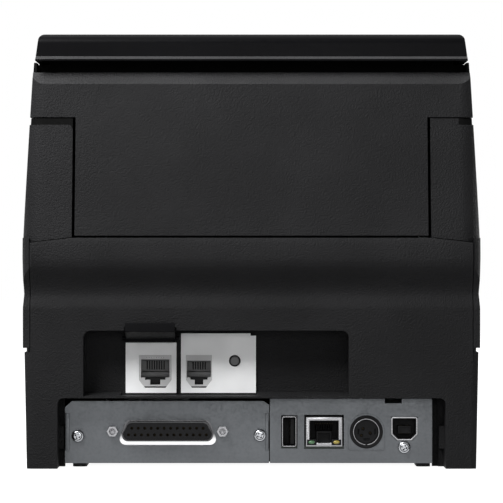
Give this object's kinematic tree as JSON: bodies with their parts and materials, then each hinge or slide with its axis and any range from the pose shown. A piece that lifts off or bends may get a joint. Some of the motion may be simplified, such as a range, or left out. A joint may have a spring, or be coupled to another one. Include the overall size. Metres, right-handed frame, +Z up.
{
  "type": "slip and receipt printer",
  "caption": "Desk printer with a hinged receipt roll section behind and an impact slip section in front; connectors on the rear.",
  "frame": {"origin": "centre of the base outline on the surface the printer stands on", "axes": "+Z up, +Y to the rear with the connectors, -Y to the operator, +X to the operator's right"},
  "size_m": [0.1952, 0.282, 0.1858],
  "materials": {
    "case_plastic": "fine spark-eroded texture, satin",
    "gloss_black": "smooth, semi-gloss",
    "inner_black": "smooth moulded",
    "lens": "clear tinted",
    "steel": "plated",
    "shield": "tin plated",
    "head_black": "black anodised casting",
    "rubber": "matte",
    "gear_plastic": "acetal",
    "brass": "turned",
    "board": "solder mask",
    "panel_metal": "grey coated sheet steel",
    "light_plate": "light satin",
    "jack_grey": "moulded"
  },
  "bodies": {
    "base": {"lower_case": "case_plastic", "case_left": "case_plastic", "case_right": "case_plastic", "top_bezel": "case_plastic", "front_case": "case_plastic", "slip_table": "case_plastic", "control_panel": "gloss_black", "indicator_lenses": "lens", "main_chassis": "steel", "cover_hinge_pins": "steel", "roll_compartment": "inner_black", "stepper_motors": "steel", "cutter_housing": "inner_black", "slip_platen": "steel", "slip_path_guide": "inner_black", "carriage_shaft": "steel", "carriage_belt": "rubber", "ribbon_cassette": "inner_black", "circuit_boards": "board", "connector_panel": "panel_metal", "interface_bracket": "panel_metal", "panel_screws": "steel", "jack_screws": "steel", "serial_connector": "steel", "serial_insert": "inner_black", "usb_host_port": "shield", "network_jack": "shield", "power_inlet": "inner_black", "usb_device_port": "shield", "jack_plates": "light_plate", "modular_jacks": "jack_grey", "rubber_feet": "rubber"},
    "receipt_cover": {"receipt_cover": "case_plastic", "top_panel": "gloss_black", "fixed_blade": "steel"},
    "platen": {"platen_roller": "rubber", "platen_gear": "gear_plastic"},
    "idler": {"idler_gear": "gear_plastic"},
    "feed_pinion": {"feed_pinion": "brass"},
    "thermal_head": {"thermal_head": "steel"},
    "cutter_blade": {"moving_blade": "steel"},
    "front_cover": {"front_cover": "case_plastic"},
    "carriage": {"carriage": "inner_black", "print_head": "head_black"},
    "drive_pulley": {"drive_pulley": "gear_plastic"},
    "idler_pulley": {"idler_pulley": "gear_plastic"},
    "ribbon_knob": {"ribbon_knob": "gear_plastic"},
    "feed_roller": {"slip_feed_roller": "rubber", "slip_roller_gear": "gear_plastic"},
    "slip_pinion": {"slip_motor_pinion": "brass"},
    "pinch_roller": {"pinch_roller": "rubber"},
    "receipt_feed_button": {"receipt_feed_button": "case_plastic"},
    "slip_feed_button": {"slip_feed_button": "case_plastic"},
    "release_button": {"release_button": "case_plastic"},
    "cover_open_button": {"cover_open_button": "gloss_black"},
    "power_rocker": {"power_rocker": "gloss_black"},
    "reset_button": {"reset_button": "jack_grey"},
    "port_flap": {"port_flap": "gloss_black"}
  },
  "joints": [
    {"name": "receipt_cover_hinge", "type": "hinge", "parent": "base", "child": "receipt_cover", "pos_m": [0, 0.1315, 0.102], "axis": [-1, 0, 0], "range_deg": [0, 73]},
    {"name": "platen_spin", "type": "hinge", "parent": "receipt_cover", "child": "platen", "pos_m": [0, 0.018, 0.151], "axis": [1, 0, 0], "continuous": true},
    {"name": "idler_spin", "type": "hinge", "parent": "base", "child": "idler", "pos_m": [0, 0.01071, 0.12971], "axis": [1, 0, 0], "continuous": true},
    {"name": "feed_pinion_spin", "type": "hinge", "parent": "base", "child": "feed_pinion", "pos_m": [0, 0.00472, 0.11221], "axis": [1, 0, 0], "continuous": true},
    {"name": "thermal_head_tilt", "type": "hinge", "parent": "base", "child": "thermal_head", "pos_m": [0, 0.004, 0.135], "axis": [1, 0, 0], "range_deg": [0, 3], "stiffness_Nm_per_rad": 2, "springref_deg": -8.59},
    {"name": "cutter_slide", "type": "slide", "parent": "base", "child": "cutter_blade", "axis": [0, 1, 0], "range_m": [0, 0.01]},
    {"name": "front_cover_hinge", "type": "hinge", "parent": "base", "child": "front_cover", "pos_m": [0, -0.048, 0.159], "axis": [-1, 0, 0], "range_deg": [0, 75]},
    {"name": "carriage_slide", "type": "slide", "parent": "base", "child": "carriage", "axis": [-1, 0, 0], "range_m": [0, 0.1]},
    {"name": "drive_pulley_spin", "type": "hinge", "parent": "base", "child": "drive_pulley", "pos_m": [0.043, -0.094, 0.1067], "axis": [0, 0, 1], "range_deg": [-10, 880]},
    {"name": "idler_pulley_spin", "type": "hinge", "parent": "base", "child": "idler_pulley", "pos_m": [-0.082, -0.094, 0.1067], "axis": [0, 0, 1], "range_deg": [-10, 880]},
    {"name": "ribbon_knob_spin", "type": "hinge", "parent": "base", "child": "ribbon_knob", "pos_m": [-0.0705, -0.08, 0.141], "axis": [0, 0, 1], "continuous": true},
    {"name": "slip_roller_spin", "type": "hinge", "parent": "base", "child": "feed_roller", "pos_m": [0, -0.0255, 0.076], "axis": [1, 0, 0], "continuous": true},
    {"name": "slip_pinion_spin", "type": "hinge", "parent": "base", "child": "slip_pinion", "pos_m": [0, -0.0255, 0.0913], "axis": [1, 0, 0], "continuous": true},
    {"name": "pinch_roller_spin", "type": "hinge", "parent": "base", "child": "pinch_roller", "pos_m": [0, -0.04, 0.076], "axis": [1, 0, 0], "continuous": true},
    {"name": "receipt_feed_press", "type": "slide", "parent": "base", "child": "receipt_feed_button", "axis": [0, 0.225, -0.9744], "range_m": [0, 0.0008], "stiffness_N_per_m": 300, "springref_m": -0.001},
    {"name": "slip_feed_press", "type": "slide", "parent": "base", "child": "slip_feed_button", "axis": [0, 0.225, -0.9744], "range_m": [0, 0.0008], "stiffness_N_per_m": 300, "springref_m": -0.001},
    {"name": "release_press", "type": "slide", "parent": "base", "child": "release_button", "axis": [0, 0.225, -0.9744], "range_m": [0, 0.0008], "stiffness_N_per_m": 300, "springref_m": -0.001},
    {"name": "cover_open_press", "type": "slide", "parent": "base", "child": "cover_open_button", "axis": [0, 0, -1], "range_m": [0, 0.0025], "stiffness_N_per_m": 300, "springref_m": -0.001},
    {"name": "power_rocker_tip", "type": "hinge", "parent": "base", "child": "power_rocker", "pos_m": [0, -0.1079, 0.025], "axis": [1, 0, 0], "range_deg": [0, 16]},
    {"name": "reset_press", "type": "slide", "parent": "base", "child": "reset_button", "axis": [0, -1, 0], "range_m": [0, 0.0008], "stiffness_N_per_m": 200, "springref_m": -0.001},
    {"name": "port_flap_hinge", "type": "hinge", "parent": "base", "child": "port_flap", "pos_m": [0.0432, 0.1256, 0.0555], "axis": [-1, 0, 0], "range_deg": [0, 105]}
  ],
  "couplings": [
    {"joint": "idler_spin", "follows": "platen_spin", "ratio": -0.55556},
    {"joint": "feed_pinion_spin", "follows": "platen_spin", "ratio": 2},
    {"joint": "drive_pulley_spin", "follows": "carriage_slide", "rad_per_m": 150},
    {"joint": "idler_pulley_spin", "follows": "carriage_slide", "rad_per_m": 150},
    {"joint": "slip_pinion_spin", "follows": "slip_roller_spin", "ratio": -2.8},
    {"joint": "pinch_roller_spin", "follows": "slip_roller_spin", "ratio": -1.3667}
  ]
}
